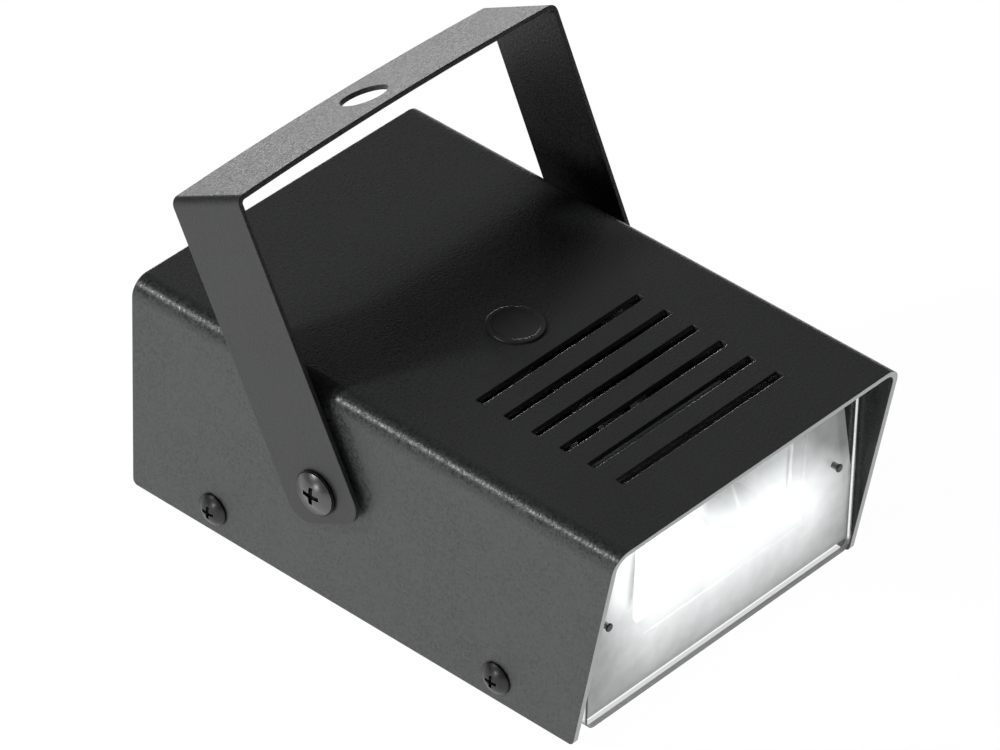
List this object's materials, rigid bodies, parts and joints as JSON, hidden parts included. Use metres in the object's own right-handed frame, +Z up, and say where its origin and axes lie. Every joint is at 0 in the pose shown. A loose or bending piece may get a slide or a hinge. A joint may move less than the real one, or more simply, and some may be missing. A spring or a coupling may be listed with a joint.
{
  "type": "xenon stroboscope",
  "caption": "Small mains xenon stroboscope: folded sheet-metal case with vent slots, clear front plate over a reflector and flash tube, tilting U-bracket, rear rate knob and cable gland.",
  "frame": {"origin": "centre of the flat underside of the housing, midway along its length and width", "axes": "+X to the right seen from the front, -Y out of the lens, +Z up"},
  "size_m": [0.092, 0.1382, 0.0883],
  "materials": {
    "housing_paint": "fine textured powder coat",
    "tray_paint": "fine textured powder coat",
    "bracket_paint": "fine textured powder coat, worn on edges",
    "black_steel": "blackened steel",
    "zinc_steel": "zinc plated",
    "black_plastic": "moulded",
    "knob_plastic": "moulded",
    "clear_acrylic": "polished",
    "bright_aluminium": "polished",
    "tube_glass": "clear",
    "electrode_metal": "bright",
    "nickel_wire": "drawn",
    "white_ceramic": "ceramic",
    "white_lead": "insulated wire",
    "board_laminate": "phenolic board",
    "brass_post": "turned",
    "can_sleeve": "sleeve",
    "film_box": "boxed film",
    "coil_tape": "taped winding",
    "black_epoxy": "moulded",
    "resistor_body": "lacquered",
    "diac_glass": "lacquered",
    "fuse_glass": "cartridge",
    "terminal_green": "moulded",
    "pot_metal": "pressed",
    "dial_metal": "anodised",
    "shaft_metal": "turned",
    "seal_rubber": "moulded",
    "gland_nylon": "moulded",
    "earth_lead_sleeve": "insulated wire",
    "tinned_copper": "tinned"
  },
  "bodies": {
    "housing": {"top_cover": "housing_paint", "base_chassis": "tray_paint", "hole_plug": "black_plastic", "cover_screws": "black_steel", "cover_nuts": "zinc_steel", "pivot_screws": "black_steel", "pivot_spacers": "knob_plastic", "pivot_washers": "zinc_steel", "pivot_lock_washers": "zinc_steel", "pivot_nuts": "zinc_steel", "lens_plate": "clear_acrylic", "lens_pins": "black_plastic", "reflector": "bright_aluminium", "reflector_studs": "zinc_steel", "reflector_nuts": "zinc_steel", "flash_tube": "tube_glass", "tube_electrodes": "electrode_metal", "trigger_wire": "nickel_wire", "lead_bushes": "white_ceramic", "tube_leads": "white_lead", "circuit_board": "board_laminate", "board_posts": "brass_post", "board_screws": "zinc_steel", "storage_capacitors": "can_sleeve", "power_resistor": "white_ceramic", "trigger_coil": "coil_tape", "trigger_capacitor": "film_box", "timing_capacitor": "film_box", "rectifier_diodes": "black_epoxy", "timing_resistors": "resistor_body", "diac": "diac_glass", "thyristor": "black_epoxy", "fuse": "fuse_glass", "fuse_clips": "tinned_copper", "terminal_block": "terminal_green", "terminal_screws": "zinc_steel", "potentiometer": "pot_metal", "pot_leads": "white_lead", "dial_plate": "dial_metal", "pot_washer": "zinc_steel", "pot_nut": "zinc_steel", "gland_body": "gland_nylon", "gland_seal": "seal_rubber", "gland_dome_nut": "gland_nylon", "gland_locknut": "gland_nylon", "earth_stud": "zinc_steel", "earth_ring": "tinned_copper", "earth_nut": "zinc_steel", "earth_lead": "earth_lead_sleeve"},
    "bracket": {"mounting_bracket": "bracket_paint"},
    "control": {"pot_shaft": "shaft_metal", "rate_knob": "knob_plastic", "knob_screw": "black_steel"}
  },
  "joints": [
    {"name": "bracket_tilt", "type": "hinge", "parent": "housing", "child": "bracket", "pos_m": [0, 0.0107, 0.0275], "axis": [1, 0, 0], "range_deg": [-45, 86]},
    {"name": "rate_turn", "type": "hinge", "parent": "housing", "child": "control", "pos_m": [0.018, 0.0672, 0.026], "axis": [0, 1, 0], "range_deg": [-140, 140]}
  ]
}
